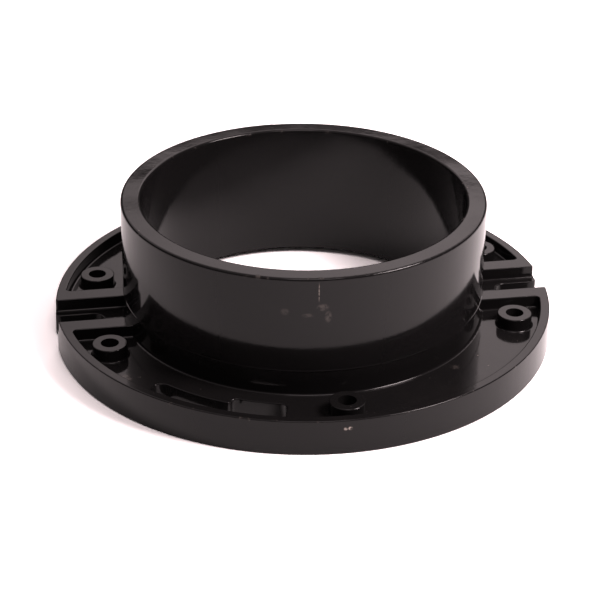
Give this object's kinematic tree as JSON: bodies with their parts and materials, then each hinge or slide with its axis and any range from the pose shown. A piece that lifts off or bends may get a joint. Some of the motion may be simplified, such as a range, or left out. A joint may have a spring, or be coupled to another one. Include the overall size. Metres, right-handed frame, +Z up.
{
  "type": "closet flange",
  "caption": "Round one-piece pipe flange with a socket hub, ribbed open bolt notches, curved bolt tracks and screw bosses, lying on its face.",
  "frame": {"origin": "centre of the flat face that lies on the floor", "axes": "+Z up the hub's axis towards the pipe mouth, +X through the two open bolt notches"},
  "size_m": [0.1774, 0.1778, 0.0518],
  "materials": {
    "black_abs": "glossy moulded black ABS, lightly scuffed"
  },
  "bodies": {
    "root": {"closet_flange": "black_abs"}
  },
  "joints": []
}
